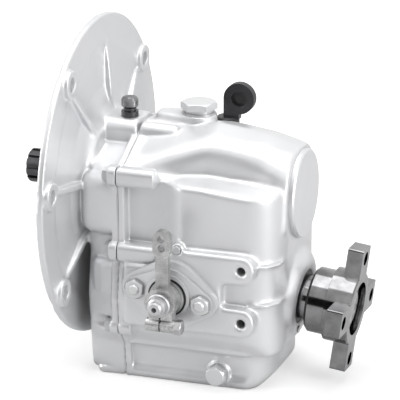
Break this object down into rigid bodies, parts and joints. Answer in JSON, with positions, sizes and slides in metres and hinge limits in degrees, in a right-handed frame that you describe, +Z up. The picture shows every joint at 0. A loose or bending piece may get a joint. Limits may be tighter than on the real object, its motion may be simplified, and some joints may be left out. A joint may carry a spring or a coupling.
{
  "type": "marine gearbox",
  "caption": "Compact reversing marine gearbox with round engine plate, side shift lever and down-angled output flange.",
  "frame": {"origin": "centre of the engine plate's front face, on the input shaft's axis", "axes": "+X aft along the input shaft, +Y away from the shift lever's side, +Z up"},
  "size_m": [0.2623, 0.24, 0.262],
  "materials": {
    "painted_casting": "white-silver lacquer over cast aluminium",
    "bright_steel": "machined and zinc plated",
    "polished_steel": "ground and polished",
    "dark_steel": "phosphated",
    "gear_steel": "ground",
    "bronze": "plain bearing bronze",
    "seal_rubber": "nitrile",
    "gasket_paper": "pressed fibre sheet",
    "aluminium_ring": "soft washer",
    "grip_plastic": "moulded, finely grained"
  },
  "bodies": {
    "case": {"boss_plug": "bright_steel", "breather_body": "dark_steel", "breather_cap": "polished_steel", "carrier_screws": "dark_steel", "drain_plug": "painted_casting", "drain_washer": "aluminium_ring", "filler_plug": "painted_casting", "filler_washer": "aluminium_ring", "front_housing": "painted_casting", "housing_gasket": "gasket_paper", "idler_shaft": "gear_steel", "input_front_bearing": "gear_steel", "input_rear_bearing": "gear_steel", "input_seal": "seal_rubber", "joint_bolts": "painted_casting", "output_front_bearing": "gear_steel", "output_rear_bearing": "gear_steel", "output_seal": "seal_rubber", "rear_cover": "painted_casting", "rear_housing": "painted_casting", "seal_carrier": "painted_casting", "shift_cover": "painted_casting", "shift_cover_gasket": "gasket_paper", "shift_cover_nuts": "painted_casting", "shift_cover_studs": "bright_steel", "shift_seal": "seal_rubber", "side_plug": "painted_casting"},
    "input": {"input_shaft": "dark_steel", "input_circlip": "dark_steel"},
    "ahead_gear": {"ahead_gear": "gear_steel", "ahead_gear_bush": "bronze", "ahead_steel_discs": "bright_steel"},
    "astern_gear": {"astern_gear": "gear_steel", "astern_gear_bush": "bronze", "astern_steel_discs": "bright_steel"},
    "idler": {"idler_gear": "gear_steel", "idler_bush": "bronze"},
    "output": {"output_shaft": "bright_steel", "output_flange": "polished_steel", "output_flange_nut": "bright_steel", "ahead_friction_discs": "bronze", "astern_friction_discs": "bronze"},
    "sleeve": {"shift_sleeve": "gear_steel"},
    "lever": {"shift_shaft": "bright_steel", "shift_lever": "bright_steel", "lever_clamp_bolt": "bright_steel"},
    "dipstick": {"dipstick_grip": "grip_plastic", "dipstick_blade": "bright_steel"}
  },
  "joints": [
    {"name": "input_turn", "type": "hinge", "parent": "case", "child": "input", "pos_m": [0, 0, 0], "axis": [1, 0, 0], "continuous": true},
    {"name": "ahead_gear_turn", "type": "hinge", "parent": "case", "child": "ahead_gear", "pos_m": [0.04776, 0, -0.06599], "axis": [0.9925, 0, -0.1219], "continuous": true},
    {"name": "idler_turn", "type": "hinge", "parent": "case", "child": "idler", "pos_m": [0.12174, 0.0241, -0.02534], "axis": [0.9984, 0.0394, -0.0414], "continuous": true},
    {"name": "astern_gear_turn", "type": "hinge", "parent": "case", "child": "astern_gear", "pos_m": [0.11724, 0, -0.07452], "axis": [0.9925, 0, -0.1219], "continuous": true},
    {"name": "output_turn", "type": "hinge", "parent": "case", "child": "output", "pos_m": [0.0825, 0, -0.07026], "axis": [0.9925, 0, -0.1219], "continuous": true},
    {"name": "sleeve_slide", "type": "slide", "parent": "case", "child": "sleeve", "axis": [0.9925, 0, -0.1219], "range_m": [-0.0029, 0.0029]},
    {"name": "lever_swing", "type": "hinge", "parent": "case", "child": "lever", "pos_m": [0.0825, -0.066, -0.064], "axis": [0, 1, 0], "range_deg": [-35, 35]},
    {"name": "dipstick_pull", "type": "slide", "parent": "case", "child": "dipstick", "axis": [0, 0, 1], "range_m": [0, 0.15]}
  ],
  "couplings": [
    {"joint": "ahead_gear_turn", "follows": "input_turn", "ratio": -0.46667},
    {"joint": "idler_turn", "follows": "input_turn", "ratio": -1.0588},
    {"joint": "astern_gear_turn", "follows": "input_turn", "ratio": 0.47368},
    {"joint": "sleeve_slide", "follows": "lever_swing", "m_per_rad": -0.0046948}
  ]
}
